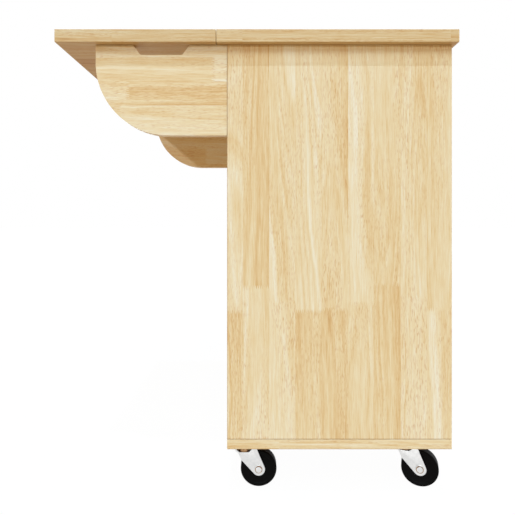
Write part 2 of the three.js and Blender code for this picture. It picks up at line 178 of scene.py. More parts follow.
def wood_group():
    """Edge-glued strips of rubberwood, finger-jointed end to end."""
    tree = bpy.data.node_groups.new("rubberwood_strips", "ShaderNodeTree")
    for name in ("Along", "Across", "Depth", "Seed", "Strip", "Block", "Jitter", "Tone", "Shade", "Seam"):
        tree.interface.new_socket(name, in_out="INPUT", socket_type="NodeSocketFloat")
    tree.interface.new_socket("Color", in_out="OUTPUT", socket_type="NodeSocketColor")
    tree.interface.new_socket("Roughness", in_out="OUTPUT", socket_type="NodeSocketFloat")
    tree.interface.new_socket("Height", in_out="OUTPUT", socket_type="NodeSocketFloat")
    graph = Graph(tree)
    given = graph.add("NodeGroupInput").outputs
    along, across, depth, seed = (given[n] for n in ("Along", "Across", "Depth", "Seed"))

    # which strip a point is on, and which length of that strip
    place = graph.math("DIVIDE", across, given["Strip"])
    strip = graph.math("FLOOR", place)
    strip_key = graph.scaled(seed, 13.7, strip)
    phase = graph.add("ShaderNodeTexWhiteNoise", {"W": strip_key}, noise_dimensions="1D").outputs["Value"]
    tooth = graph.math("PINGPONG", across, FINGER / 2)
    fingered = graph.scaled(tooth, 2 * FINGER_LENGTH / FINGER, along)
    run = graph.math("DIVIDE", fingered, given["Block"])
    run = graph.math("MULTIPLY_ADD", phase, given["Jitter"], run)
    block = graph.math("FLOOR", run)
    key = graph.xyz(strip, block, seed)
    white = graph.add("ShaderNodeTexWhiteNoise", {"Vector": key}, noise_dimensions="3D").outputs
    tone, figure, shift = graph.add("ShaderNodeSeparateColor", {"Color": white["Color"]}).outputs
    turn = white["Value"]

    # each length is cut from its own place in a log, and its grain wanders a little
    u = graph.scaled(shift, 9.7, along)
    v = graph.scaled(figure, 7.3, across)
    w = graph.scaled(tone, 5.1, depth)

    def texture(lengthwise, crosswise, detail=0.0, roughness=0.5, side=v):
        """Noise drawn out along the grain, with so many repeats a metre along it and across it."""
        stretched = (graph.scaled(u, lengthwise), graph.scaled(side, crosswise), graph.scaled(w, crosswise))
        return graph.noise(graph.xyz(*stretched), detail=detail, roughness=roughness)

    # growth layers: cylinders about a pith that runs slightly aslant under the face
    drift = texture(5, 20, 1.0)
    within = graph.math("SUBTRACT", graph.math("FRACT", place), graph.scaled(turn, 1.6, -0.3))
    aside = graph.math("MULTIPLY_ADD", within, given["Strip"], graph.scaled(drift, 0.016, -0.008))
    slant = graph.scaled(figure, 0.12, -0.06)
    reach = graph.math("MULTIPLY", graph.math("SUBTRACT", graph.math("FRACT", run), shift), given["Block"])
    below = graph.math("ADD", graph.scaled(turn, 0.03, 0.012), depth)
    below = graph.math("MULTIPLY_ADD", reach, slant, below)
    below = graph.scaled(texture(3, 14), 0.03, below)
    squared = graph.math("ADD", graph.math("MULTIPLY", aside, aside), graph.math("MULTIPLY", below, below))
    layer = graph.math("SQRT", squared)
    ring = graph.math("FRACT", graph.math("DIVIDE", layer, graph.scaled(shift, 0.005, 0.005)))
    late = graph.math("MULTIPLY", graph.ramp(ring, 0.3, 0.85), graph.ramp(ring, 0.85, 1.0, 1.0, 0.0))
    late = graph.math("MULTIPLY", late, graph.ramp(texture(2, 30), 0.3, 0.65, 0.1, 1.0))

    # figure, from broad bands that follow the growth layers down to single fibres and pores
    bands = texture(0.9, 60, 1.0, side=layer)
    streaks = texture(2.2, 240, 2.0, 0.6, side=layer)
    soft = texture(2.5, 26, 2.0, 0.6)
    grain = texture(22, 420, 2.0, 0.7)
    fibre = texture(30, 1000, 1.0)
    pale = graph.ramp(texture(1.3, 110, side=layer), 0.6, 0.68)
    rusty = graph.ramp(texture(1.1, 75, side=layer), 0.62, 0.72)
    dashes = texture(100, 920)
    clusters = texture(1.8, 60, 1.0, side=layer)
    crowding = graph.ramp(clusters, 0.38, 0.6, 0.12, 1.0)
    pores = graph.math("MULTIPLY", graph.ramp(dashes, 0.58, 0.7), crowding)
    edge = graph.math("ABSOLUTE", graph.math("SUBTRACT", graph.math("FRACT", place), 0.5))
    glue = graph.ramp(edge, 0.491, 0.5)

    # the sum of it all is a place on the stops, from dark to pale
    value = graph.math("ADD", given["Tone"], graph.scaled(tone, TONE_RANGE, TONE_LOW))
    for noise, strength in ((soft, 0.45), (bands, 0.3), (streaks, 0.38), (grain, 0.72), (fibre, 0.3)):
        value = graph.math("ADD", value, graph.scaled(noise, strength, -strength / 2))
    for mark, strength in ((pale, 0.12), (rusty, -0.15), (late, -0.15), (glue, -0.07)):
        value = graph.scaled(mark, strength, value)
    color = graph.colors(value, WOOD_STOPS)
    color = graph.mix(graph.scaled(pores, PORE_STRENGTH), color, PORE)
    color = graph.mix(given["Shade"], color, SHADE)
    # painted shade along the seams
    color = graph.mix(given["Seam"], color, SEAM_SHADE_BROWN)
    result = graph.add("NodeGroupOutput")
    graph.feed(result.inputs["Color"], color)
    graph.feed(result.inputs["Roughness"], graph.scaled(fibre, 0.2, 0.42))
    graph.feed(result.inputs["Height"], graph.scaled(pores, -0.2, fibre))
    return tree


WOOD = wood_group()


def wood(
    name, grain, across, middle, seed, origin=0.0, start=0.0, strip=STRIP, block=0.4, jitter=7.0,
    tone=0.0, shade=0.0, seams=(),
):
    """Rubberwood whose grain runs along one axis and whose strips lie side by side on another.

    A strip's edge is at origin, and its lengths are block long. With little jitter their end joints
    are near start. The depth is measured from the board's middle. Each of the shaded seams is an axis,
    a place on it and a reach: a thin dark line of painted shade lies there, where a gap or an edge
    that faces down is in shade.
    """
    material, graph = material_graph(name)
    axes = graph.axes(graph.position())
    # painted shade, strongest on a seam and fading over its reach
    seam = 0.0
    for axis, place, reach in seams:
        seam = graph.math("ADD", graph.ramp(axes[axis], place, place + reach, SEAM_SHADE_STRENGTH, 0.0), seam)
    inputs = {
        "Along": graph.math("SUBTRACT", axes[grain], start),
        "Across": graph.math("SUBTRACT", axes[across], origin),
        "Depth": graph.math("SUBTRACT", axes[3 - grain - across], middle),
        "Seed": seed,
        "Strip": strip,
        "Block": block,
        "Jitter": jitter,
        "Tone": tone,
        "Shade": shade,
        "Seam": seam,
    }
    strips = graph.add("ShaderNodeGroup", node_tree=WOOD)
    for key, value in inputs.items():
        graph.feed(strips.inputs[key], value)
    graph.surface(
        Base_Color=strips.outputs["Color"],
        Roughness=strips.outputs["Roughness"],
        Specular_IOR_Level=0.25,
        height=strips.outputs["Height"],
        bump=0.25,
        reach=0.0002,
    )
    return material


def board_wood(node, grain, across, **settings):
    low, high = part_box(node)
    depth = 3 - grain - across
    return wood(f"{node}_wood", grain, across, middle=(low[depth] + high[depth]) / 2, **settings)


# ---------------------------------------------------------------- other materials


def plywood_material():
    material, graph = material_graph("birch_plywood")
    axes = graph.axes(graph.position())
    broad = graph.xyz(graph.scaled(axes[X], 14), graph.scaled(axes[Y], 1.6), axes[Z])
    narrow = graph.xyz(graph.scaled(axes[X], 420), graph.scaled(axes[Y], 9), axes[Z])
    wide = graph.noise(broad, detail=3.0)
    fine = graph.noise(narrow)
    value = graph.math("ADD", graph.scaled(wide, 1.2, -0.1), graph.scaled(fine, 0.4, -0.2))
    stops = [(0.2, rgb(205, 176, 130)), (0.6, rgb(226, 203, 160)), (1.0, rgb(236, 218, 182))]
    graph.surface(
        Base_Color=graph.colors(value, stops), Roughness=0.55, height=fine, bump=0.2, reach=0.0002
    )
    return material


def metal_material(name, light, dark, roughness):
    """Plated steel: a faint spangle, with fine scratches in its gloss."""
    material, graph = material_graph(name)
    position = graph.position()
    axes = graph.axes(position)
    spangle = graph.noise(position, scale=140.0, detail=3.0, roughness=0.6)
    brushed = graph.xyz(graph.scaled(axes[X], 900), axes[Y], graph.scaled(axes[Z], 90))
    scuffs = graph.noise(brushed)
    graph.surface(
        Base_Color=graph.colors(spangle, [(0.35, dark), (0.65, light)]),
        Metallic=1.0,
        Roughness=graph.ramp(scuffs, 0.3, 0.7, roughness - 0.06, roughness + 0.08),
        height=spangle,
        bump=0.06,
        reach=0.0002,
    )
    return material


def rubber_material():
    material, graph = material_graph("black_rubber")
    mottle = graph.noise(graph.position(), scale=210.0, detail=3.0, roughness=0.6)
    graph.surface(
        Base_Color=graph.colors(mottle, [(0.3, rgb(4, 4, 4)), (0.7, rgb(10, 9, 9))]),
        Roughness=graph.ramp(mottle, 0.3, 0.7, 0.42, 0.55),
        Specular_IOR_Level=0.05,
        height=mottle,
        bump=0.12,
        reach=0.0002,
    )
    return material


def plastic_material():
    material, graph = material_graph("ivory_plastic")
    grain = graph.noise(graph.position(), scale=900.0, detail=2.0, roughness=0.6)
    graph.surface(
        Base_Color=graph.colors(grain, [(0.3, rgb(226, 221, 208)), (0.7, rgb(236, 232, 222))]),
        Roughness=0.45,
        height=grain,
        bump=0.15,
        reach=0.0001,
    )
    return material


PLYWOOD = plywood_material()
ZINC = metal_material("zinc_plate", rgb(226, 225, 223), rgb(216, 216, 215), 0.36)
BRASS = metal_material("brass_plate", rgb(214, 188, 132), rgb(196, 168, 112), 0.3)
# painted reflection and shade: a brown steel that stands for the wood mirrored in the caster's race and the shade
# under the base board
REFLECTION_AND_SHADE_STEEL = metal_material("steel_painted_reflection_and_shade", rgb(186, 148, 108), rgb(140, 106, 74), 0.34)
RUBBER = rubber_material()
PLASTIC = plastic_material()


# ---------------------------------------------------------------- meshes


WELD = 0.001 * MM  # vertices nearer than this are one


def in_metres(points):
    """An outline or profile that is given in millimetres."""
    return [(a * MM, b * MM) for a, b in points]


def new_object(name, bm, *materials):
    mesh = bpy.data.meshes.new(name)
    bmesh.ops.recalc_face_normals(bm, faces=bm.faces)
    bm.to_mesh(mesh)
    bm.free()
    for material in materials:
        mesh.materials.append(material)
    obj = bpy.data.objects.new(name, mesh)
    bpy.context.scene.collection.objects.link(obj)
    return obj


def stand_for(obj, node):
    """The piece takes the place of a CAD node, which it hides, and goes on that node's body."""
    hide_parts(node)
    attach(obj, BODY_OF[node])


def soften(bm, width, segments=3, angle=30):
    """Rounds every edge that turns by more than angle."""
    sharp = [e for e in bm.edges if len(e.link_faces) == 2 and e.calc_face_angle() > math.radians(angle)]
    for face in bm.faces:
        face.smooth = False
    result = bmesh.ops.bevel(
        bm, geom=sharp, offset=width, segments=segments, profile=0.5, affect="EDGES", clamp_overlap=True
    )
    for face in result["faces"]:
        face.smooth = True


def eased(node, material, width=0.8 * MM, segments=3, foot=0.0, head=0.0):
    """A board or block with eased edges, which may stop short of its CAD box by foot and head in Z."""
    bm = bmesh.new()
    bm.from_mesh(frame["nodes"][node].data)
    bmesh.ops.remove_doubles(bm, verts=bm.verts, dist=WELD)
    bmesh.ops.dissolve_limit(bm, angle_limit=math.radians(1), verts=bm.verts, edges=bm.edges)
    low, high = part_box(node)
    for vert in bm.verts:
        vert.co[Z] = min(max(vert.co[Z], low[Z] + foot), high[Z] - head)
    soften(bm, width, segments)
    stand_for(new_object(f"{node}_piece", bm, material), node)


def smooth_by_angle(obj, angle=32):
    obj.data.shade_smooth()
    obj.data.set_sharp_from_angle(angle=math.radians(angle))
    return obj


def lathe(bm, profile, axis, centre=(0, 0, 0), steps=64):
    """Turns a profile of (radius, height) about an axis through centre.

    The profile starts and ends on the axis, or comes back to where it started.
    """
    rings = []
    for radius, height in profile:
        ring = []
        for n in range(steps if radius > 0 else 1):
            turn = 2 * math.pi * n / steps
            flat = (radius * math.cos(turn), radius * math.sin(turn))
            point = {
                X: (height, *flat),
                Y: (flat[1], height, flat[0]),
                Z: (*flat, height),
            }[axis]
            ring.append(bm.verts.new(Vector(centre) + Vector(point)))
        rings.append(ring)
    for low, high in zip(rings, rings[1:]):
        for n in range(steps):
            after = n + 1
            corners = [low[n % len(low)], low[after % len(low)]]
            corners += [high[after % len(high)], high[n % len(high)]]
            corners = list(dict.fromkeys(corners))
            if len(corners) > 2:
                bm.faces.new(corners)
    if profile[0] == profile[-1]:
        bmesh.ops.remove_doubles(bm, verts=rings[0] + rings[-1], dist=WELD / 10)


def arc(centre, radius, start, end, steps):
    """Points on an arc, with its angles in degrees."""
    turns = [math.radians(start + (end - start) * n / steps) for n in range(steps + 1)]
    return [(centre[0] + radius * math.cos(t), centre[1] + radius * math.sin(t)) for t in turns]


def rounded(points, radius, steps=6, ends_sharp=False):
    """A closed outline with its corners rounded, or all but the first and the last of them."""
    outline = []
    for n, point in enumerate(points):
        if ends_sharp and n in (0, len(points) - 1):
            outline.append(tuple(point))
            continue
        corner = Vector(point)
        before = (Vector(points[n - 1]) - corner).normalized()
        after = (Vector(points[(n + 1) % len(points)]) - corner).normalized()
        reach = radius / math.tan(before.angle(after) / 2)
        first = corner + before * reach
        last = corner + after * reach
        for k in range(steps + 1):
            t = k / steps
            outline.append(tuple((1 - t) ** 2 * first + 2 * t * (1 - t) * corner + t**2 * last))
    return outline


def prism(bm, outline, low, high, axis):
    """A flat outline made solid between two heights along an axis."""

    def place(point, height):
        a, b = point
        return {X: (height, a, b), Y: (a, height, b), Z: (a, b, height)}[axis]

    bottom = [bm.verts.new(place(p, low)) for p in outline]
    top = [bm.verts.new(place(p, high)) for p in outline]
    count = len(outline)
    bm.faces.new(bottom)
    bm.faces.new(top[::-1])
    for n in range(count):
        bm.faces.new([bottom[n], top[n], top[(n + 1) % count], bottom[(n + 1) % count]])


def cut(obj, tool, operation="DIFFERENCE"):
    """Joins or cuts obj with tool, which is used up."""
    modifier = obj.modifiers.new("cut", "BOOLEAN")
    modifier.operation = operation
    modifier.solver = "EXACT"
    modifier.object = tool
    graph = bpy.context.evaluated_depsgraph_get()
    mesh = bpy.data.meshes.new_from_object(obj.evaluated_get(graph))
    obj.modifiers.clear()
    obj.data = mesh
    bpy.data.objects.remove(tool)


# ---------------------------------------------------------------- cabinet and worktop

PANEL_EDGE_STRIP = 48.7 * MM  # width of the strip at an end panel's front edge
PANEL_WOOD = {"start": 0.43, "block": 0.62, "jitter": 0.1, "tone": 0.04}
PANEL_GAP = {"foot": 0.2 * MM, "head": 0.4 * MM}  # what leaves the thin dark lines under and over a panel


def build_boards():
    low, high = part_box("end_panel_near")
    # painted shade: thin dark lines at a panel's foot, over the base board, and at its edge against the bracket
    seams = [(Z, low[Z] + PANEL_GAP["foot"], 2.2 * MM), (X, low[X], 1.6 * MM)]
    for node, seed in (("end_panel_near", 3.0), ("end_panel_far", 23.0)):
        origin = high[X] - PANEL_EDGE_STRIP
        material = board_wood(node, Z, X, seed=seed, origin=origin, seams=seams, **PANEL_WOOD)
        eased(node, material, 0.25 * MM, **PANEL_GAP)
    # painted shade along the base board's lower edge, which faces down
    seams = [(Z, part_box("base_board")[0][Z], 1.8 * MM)]
    material = board_wood("base_board", X, Y, seed=15.0, origin=6 * MM, tone=0.1, seams=seams)
    eased("base_board", material, 0.6 * MM)
    eased("back_panel", board_wood("back_panel", Z, Y, seed=9.0, origin=13 * MM), 0.5 * MM)
    eased("shelf", board_wood("shelf", Y, X, seed=7.0, origin=10 * MM), 0.9 * MM)
    eased("front_top_rail", board_wood("front_top_rail", Y, X, seed=12.0))
    eased("middle_rail", board_wood("middle_rail", Y, X, seed=13.0))
    for node, seed, tone, shade in (("worktop", 4.0, -0.14, 0.11), ("drop_leaf", 5.0, -0.24, 0.13)):
        material = board_wood(node, X, Y, origin=-4 * MM, seed=seed, tone=tone, shade=shade)
        eased(node, material, 0.7 * MM, segments=4)
    for end, sign in ENDS:
        eased(f"drawer_runner_{end}", board_wood(f"drawer_runner_{end}", X, Y, seed=30.0 + sign))
        eased(f"door_{end}", board_wood(f"door_{end}", Z, Y, seed=40.0 + sign, origin=4 * MM), 1.2 * MM)
        eased(f"drawer_side_{end}", board_wood(f"drawer_side_{end}", X, Z, seed=50.0 + sign))
    eased("drawer_front", board_wood("drawer_front", Y, Z, seed=60.0, origin=2 * MM), 1.2 * MM)
    eased("drawer_back", board_wood("drawer_back", Y, Z, seed=63.0))
    eased("drawer_bottom", PLYWOOD, 0.3 * MM)
    eased("door_catch", PLASTIC, 1.2 * MM)


# ---------------------------------------------------------------- leaf brackets

BRACKET_CORNER = 142 * MM  # radius of the lower outer corner
BRACKET_STRIP = 47 * MM
BRACKET_BLOCK = 0.3  # length of a strip's pieces
BRACKET_TOP_STRIP = 23.4 * MM  # the strip along the top edge is cut narrower
BRACKET_GAP = {"end": 0.2 * MM, "head": 0.7 * MM}
NOTCH_TOP = 109.4 * MM
NOTCH_FLOOR = 82 * MM
NOTCH_DEPTH = 18.6 * MM
NOTCH_FILLET = 5 * MM


def bracket_outline(low, high):
    """The outline in X and Z: a long board with one big round corner and a notch in its top."""
    middle = (low[X] + high[X]) / 2
    floor = high[Z] - NOTCH_DEPTH
    notch = [
        (middle - NOTCH_TOP / 2, high[Z]),
        (middle - NOTCH_FLOOR / 2, floor),
        (middle + NOTCH_FLOOR / 2, floor),
        (middle + NOTCH_TOP / 2, high[Z]),
    ]
    notch = rounded(notch, NOTCH_FILLET, ends_sharp=True)
    corner = arc((low[X] + BRACKET_CORNER, low[Z] + BRACKET_CORNER), BRACKET_CORNER, 180, 270, 48)
    return [(low[X], high[Z]), *corner, (high[X], low[Z]), (high[X], high[Z]), *notch[::-1]]


def build_brackets():
    # the far bracket, in the leaf's shade, has a paler tone than the near one: painted light that lifts its shade
    for end, seed, tone in (("near", 69.0, 0.12), ("far", 75.0, 0.24)):
        node = f"leaf_bracket_{end}"
        low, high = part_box(node)
        high[X] -= BRACKET_GAP["end"]
        high[Z] -= BRACKET_GAP["head"]
        bm = bmesh.new()
        prism(bm, bracket_outline(low, high), low[Y], high[Y], Y)
        soften(bm, 0.4 * MM)
        origin = high[Z] - BRACKET_TOP_STRIP
        settings = {"strip": BRACKET_STRIP, "origin": origin, "block": BRACKET_BLOCK, "tone": tone}
        material = board_wood(node, X, Z, seed=seed, **settings)
        stand_for(new_object(f"{node}_piece", bm, material), node)


# ---------------------------------------------------------------- knobs

KNOB_COLLAR = [(0, 0), (9.2, 0), (9.8, 0.6), (9.8, 1.4)]  # radius and height, in mm
KNOB_NECK_RADIUS = 8.5 * MM
KNOB_NECK_CENTRE = (15.5 * MM, 7.5 * MM)
KNOB_WIDEST = 0.7  # how far along its length a knob is widest
KNOB_STRIP = 0.2  # wider than a knob, and a knob is one piece of wood


def build_knobs():
    """Turned knobs: a collar against the wood, a hollow neck and a domed head."""
    for node in ("drawer_knob", "door_knob_near", "door_knob_far"):
        low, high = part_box(node)
        length = high[X] - low[X]
        radius = (high[Z] - low[Z]) / 2
        centre = (low[X], (low[Y] + high[Y]) / 2, (low[Z] + high[Z]) / 2)
        neck = arc(KNOB_NECK_CENTRE, KNOB_NECK_RADIUS, 228, 132, 12)
        widest = KNOB_WIDEST * length
        head = [
            (radius * across, widest + (length - widest) * along)
            for along, across in arc((0, 0), 1.0, 140, 0, 24)[:-1]
        ]
        bm = bmesh.new()
        lathe(bm, [*in_metres(KNOB_COLLAR), *neck, *head, (0, length)], X, centre, steps=48)
        seed = 80.0 + centre[Y] * 10
        material = board_wood(node, X, Y, seed=seed, origin=-KNOB_STRIP / 2, strip=KNOB_STRIP)
        stand_for(smooth_by_angle(new_object(f"{node}_piece", bm, material), angle=50), node)


# ---------------------------------------------------------------- hinges

HINGE_GAP = 0.3 * MM
HINGE_CORNER = 3 * MM
KNUCKLE_EASE = 0.25 * MM
WEB_OVERLAP = 0.5 * MM  # how far a knuckle's web runs into its plate
PIN_HEAD = 0.8 * MM  # how far a pin's heads stand past the barrel
PIN_HEAD_PROFILE = [(1.5, 0), (1.3, 0.75), (0, 1)]  # in the pin's radius and the head's height
LEAF_HINGE = {
    "length": 64 * MM, "thickness": 1.6 * MM, "barrel": 3.4 * MM, "pin": 1.6 * MM, "standoff": 4 * MM,
    "plate": 18.5 * MM, "flap": 38 * MM, "flap_rows": 2, "knuckles": 3, "screws": 3, "screw": 3.2 * MM,
}
BRACKET_HINGE = {
    "length": 150 * MM, "thickness": 1.2 * MM, "barrel": 1.9 * MM, "pin": 0.9 * MM, "standoff": 2.2 * MM,
    "plate": 20 * MM, "flap": 20 * MM, "flap_rows": 1, "knuckles": 5, "screws": 5, "screw": 2.6 * MM,
}
DOOR_HINGE = {
    "length": 50 * MM, "thickness": 1.5 * MM, "barrel": 2.2 * MM, "pin": 1.1 * MM, "standoff": 2.3 * MM,
    "plate": 20 * MM, "flap": 20 * MM, "flap_rows": 1, "knuckles": 3, "screws": 2, "screw": 2.8 * MM,
}
JOINT_AT = {joint["name"]: Vector(joint.get("pos_m", (0, 0, 0))) for joint in frame["joints"]}


def screw_head(bm, centre, normal, radius):
    """A low domed head with a cross recess, standing on a face."""
    rise, depth, arm, width = 0.22 * radius, 0.18 * radius, 0.55 * radius, 0.14 * radius
    turn = Vector(normal).to_track_quat("Z", "Y").to_matrix().to_4x4()
    place = Matrix.Translation(centre) @ turn
    steps = 24

    def ring(size, height):
        turns = [2 * math.pi * n / steps for n in range(steps)]
        points = [(size * math.cos(t), size * math.sin(t), height) for t in turns]
        return [bm.verts.new(place @ Vector(point)) for point in points]

    def walls(low, high):
        for n in range(len(low)):
            after = (n + 1) % len(low)
            bm.faces.new([low[n], low[after], high[after], high[n]])

    foot, shoulder, crown = ring(radius, 0.0), ring(radius, 0.4 * rise), ring(0.82 * radius, rise)
    walls(foot, shoulder)
    walls(shoulder, crown)
    bm.faces.new(foot[::-1])
    corners = [(arm, width), (width, width), (width, arm)]
    outline = []
    for quarter in range(4):
        spin = Matrix.Rotation(quarter * math.pi / 2, 3, "Z")
        outline += [spin @ Vector((x, y, rise)) for x, y in corners]
    rim = [bm.verts.new(place @ point) for point in outline]
    floor = [bm.verts.new(place @ Vector((0.8 * p.x, 0.8 * p.y, rise - depth))) for p in outline]
    walls(floor, rim)
    bm.faces.new(floor)
    loops = [bm.edges.get((loop[n - 1], loop[n])) for loop in (crown, rim) for n in range(len(loop))]
    bmesh.ops.triangle_fill(bm, edges=loops, use_beauty=True)


def hinge_half(hinge, side, fixed):
    """Half a butt hinge in its own frame.

    The pin runs along Z through the origin, the plate reaches along +X, and the wood is on the
    side of Y that side says. The fixed half carries the pin.
    """
    length, thickness, barrel = hinge["length"], hinge["thickness"], hinge["barrel"]
    width = hinge["plate"] if fixed else hinge["flap"]
    rows = 1 if fixed else hinge["flap_rows"]
    pitch = length / hinge["knuckles"]
    play = 0.0 if fixed else HINGE_GAP
    outer = side * (hinge["standoff"] - HINGE_GAP)
    inner = outer - side * thickness
    bm = bmesh.new()
    near = barrel + HINGE_GAP
    corner = min(HINGE_CORNER, (width - near) / 3)
    plate = [(near, -length / 2), (width, -length / 2), (width, length / 2), (near, length / 2)]
    plate = rounded(plate, corner, ends_sharp=True)
    prism(bm, plate, min(outer, inner), max(outer, inner), Y)
    soften(bm, 0.2 * MM, segments=2)
    ease = KNUCKLE_EASE
    for n in range(0 if fixed else 1, hinge["knuckles"], 2):
        low = -length / 2 + n * pitch + play
        high = low + pitch - 2 * play
        profile = [(0, low), (barrel - ease, low), (barrel, low + ease)]
        profile += [(barrel, high - ease), (barrel - ease, high), (0, high)]
        lathe(bm, profile, Z, steps=32)
        reach = near + WEB_OVERLAP
        web = [(0, inner), (reach, inner), (reach, outer), (0, outer)]
        prism(bm, web, low + ease, high - ease, Z)
    if fixed:
        pin = hinge["pin"]
        head = [(across * pin, length / 2 + along * PIN_HEAD) for across, along in PIN_HEAD_PROFILE]
        mirrored = [(r, -h) for r, h in head[::-1]]
        lathe(bm, [*mirrored, *head], Z, steps=24)
    columns = hinge["screws"]
    for row in range(rows):
        x = near + (width - near) * (row + 0.5) / rows
        for n in range(columns):
            z = length * ((n + 0.5) / columns - 0.5)
            screw_head(bm, (x, inner, z), (0, -side, 0), hinge["screw"])
    return bm


def put_hinge_half(node, hinge, side, fixed, quarters, place, material=ZINC):
    """Turns a hinge's half by quarters about its pin, and puts it in place."""
    bm = hinge_half(hinge, side, fixed)
    bm.transform(place @ Matrix.Rotation(quarters * math.pi / 2, 4, "Z"))
    stand_for(smooth_by_angle(new_object(f"{node}_piece", bm, material)), node)


def build_hinges():
    pin = JOINT_AT["leaf_lift"]
    for end, sign in ENDS:
        low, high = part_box(f"leaf_hinge_plate_{end}")
        lying = Matrix.Rotation(-math.pi / 2, 4, "X")
        place = Matrix.Translation((pin[X], (low[Y] + high[Y]) / 2, pin[Z])) @ lying
        node = f"leaf_hinge_plate_{end}"
        put_hinge_half(node, LEAF_HINGE, side=-1, fixed=True, quarters=0, place=place)
        node = f"leaf_hinge_flap_{end}"
        put_hinge_half(node, LEAF_HINGE, side=1, fixed=False, quarters=2, place=place)
        place = Matrix.Translation(JOINT_AT[f"bracket_{end}_swing"])
        node = f"bracket_hinge_plate_{end}"
        put_hinge_half(node, BRACKET_HINGE, side=sign, fixed=True, quarters=-sign, place=place)
        node = f"bracket_hinge_flap_{end}"
        put_hinge_half(node, BRACKET_HINGE, side=-sign, fixed=False, quarters=2, place=place)
        for height in ("lower", "upper"):
            plate, flap = f"door_hinge_plate_{end}_{height}", f"door_hinge_flap_{end}_{height}"
            low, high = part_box(plate)
            hinge_at = JOINT_AT[f"door_{end}_swing"].copy()
            hinge_at[Z] = (low[Z] + high[Z]) / 2
            where = {"quarters": 2, "place": Matrix.Translation(hinge_at), "material": BRASS}
            put_hinge_half(plate, DOOR_HINGE, side=-sign, fixed=True, **where)
            put_hinge_half(flap, DOOR_HINGE, side=sign, fixed=False, **where)


# ---------------------------------------------------------------- shelf pins

PIN_BURIED = 8 * MM  # how deep a pin goes into its end panel
PIN_EASE = 0.4 * MM
PIN_FLANGE = 1.35  # the flange's radius over the pin's
PIN_FLANGE_EDGE = (0.05 * MM, 0.9 * MM, 1.1 * MM)  # where the flange starts, tapers and ends


def build_shelf_pins():
    for end, sign in ENDS:
        for row in ROWS:
            node = f"shelf_pin_{end}_{row}"
            low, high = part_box(node)
            radius = (high[Z] - low[Z]) / 2
            length = high[Y] - low[Y]
            start, taper, stop = (PIN_BURIED + edge for edge in PIN_FLANGE_EDGE)
            profile = [(0, 0), (radius - PIN_EASE, 0), (radius, PIN_EASE), (radius, PIN_BURIED)]
            profile += [(radius * PIN_FLANGE, start), (radius * PIN_FLANGE, taper)]
            profile += [(radius, stop), (radius, length - radius)]
            profile += [(r, length - radius + h) for r, h in arc((0, 0), radius, 0, 90, 8)[1:-1]]
            profile.append((0, length))
            bm = bmesh.new()
            lathe(bm, [(r, sign * -h) for r, h in profile], Y, steps=32)
            hole = high[Y] if sign > 0 else low[Y]
            middle = ((low[X] + high[X]) / 2, hole, (low[Z] + high[Z]) / 2)
            bm.transform(Matrix.Translation(middle))
            stand_for(smooth_by_angle(new_object(f"{node}_piece", bm, ZINC)), node)


# ---------------------------------------------------------------- casters
# Each part is made with its swivel at the origin and its wheel at trail along X.

AXLE_HEIGHT = 37 * MM
WHEEL_RADIUS = 36.9 * MM
WHEEL_RELIEF = 38.2 * MM  # radius of the space that the cup leaves over the wheel
LEG_INNER = 12.6 * MM
SHEET = 1.8 * MM
LEG_OUTER = LEG_INNER + SHEET
LEG_BACK = 17.5 * MM  # a leg's back corner at the top, behind the swivel
LEG_BEND = (5.4 * MM, 18.2 * MM)  # the bend in its back edge: behind the swivel, and above the axle
LEG_BEND_RADIUS = 5 * MM
LEG_FRONT = 6.3 * MM  # its front corner at the top, behind the axle
LEG_FOOT = 12.8 * MM
AXLE_HOLE = 4.3 * MM
KINGPIN_HOLE = 4.8 * MM
FORK_TOP = 84 * MM
CUP_FLOOR = 71.8 * MM
CUP_FOOT = 70 * MM
# this profile and the others below are in mm: radius, and height along the axis
CUP_OUTSIDE = [(18, 70), (22.8, 76.8), (22.8, 84)]
CUP_INSIDE = [(17, 71.8), (21, 76.8), (21, 90)]
BEYOND = 60 * MM  # how far the cutting tools reach sideways
THROUGH = 10 * MM  # and how far past the sheet, up and down

PLATE_BOTTOM = 97.2 * MM
PLATE_THICKNESS = 2.5 * MM
PLATE_HALF = 30 * MM
PLATE_CORNER = 6 * MM
PLATE_SCREW = 4.2 * MM
PLATE_SCREW_AT = (-22.5 * MM, 22.5 * MM)
RACE = [
    (0, 72.1), (12.9, 72.1), (13.5, 72.7), (13.5, 84.4), (14.1, 85), (19.8, 85.9),
    (20.9, 87), (22.4, 95.6), (23.3, 96.8), (23.6, 97.4), (0, 97.4),
]
KINGPIN = [
    (0, 66), (3.6, 66), (5.4, 66.4), (6.4, 67.6), (6.5, 69.4), (6.2, 69.7), (4.5, 69.7), (4.5, 72.3),
    (0, 72.3),
]
WHEEL_SIDE = [
    (4.5, 11.9), (9.4, 11.9), (10.1, 11.6), (11.6, 10.6), (12.6, 10.4), (28.2, 10.4), (28.9, 10.7),
    (29.6, 11.4), (30.4, 11.6), (33.8, 11.6),
]
TREAD_SHOULDER = {"centre": (34.0, 8.7), "radius": 2.9, "start": 84, "end": 8, "steps": 8}
TREAD_HALF = 8 * MM
AXLE_HEAD = [
    (4, 14.5), (8.3, 14.5), (8.3, 15.3), (7.6, 15.5), (7.5, 14.6), (6.3, 14.6), (6.2, 16.3), (5.7, 16.9),
    (4.4, 17.2), (0, 17.3),
]
AXLE_GROOVE = (6.2 * MM, 7.5 * MM)
REFLECTION_AND_SHADE_INDEX = 1  # the brown steel of painted reflection and shade is the second material of the parts that have it


def lathe_object(name, profile, axis, centre=(0, 0, 0), steps=96):
    bm = bmesh.new()
    lathe(bm, profile, axis, centre, steps)
    return new_object(name, bm, ZINC)


def drum(radius, low, high):
    return [(0, low), (radius, low), (radius, high), (0, high)]


def slab(name, low, high):
    bm = bmesh.new()
    outline = [(low[X], low[Y]), (high[X], low[Y]), (high[X], high[Y]), (low[X], high[Y])]
    prism(bm, outline, low[Z], high[Z], Z)
    return new_object(name, bm, ZINC)


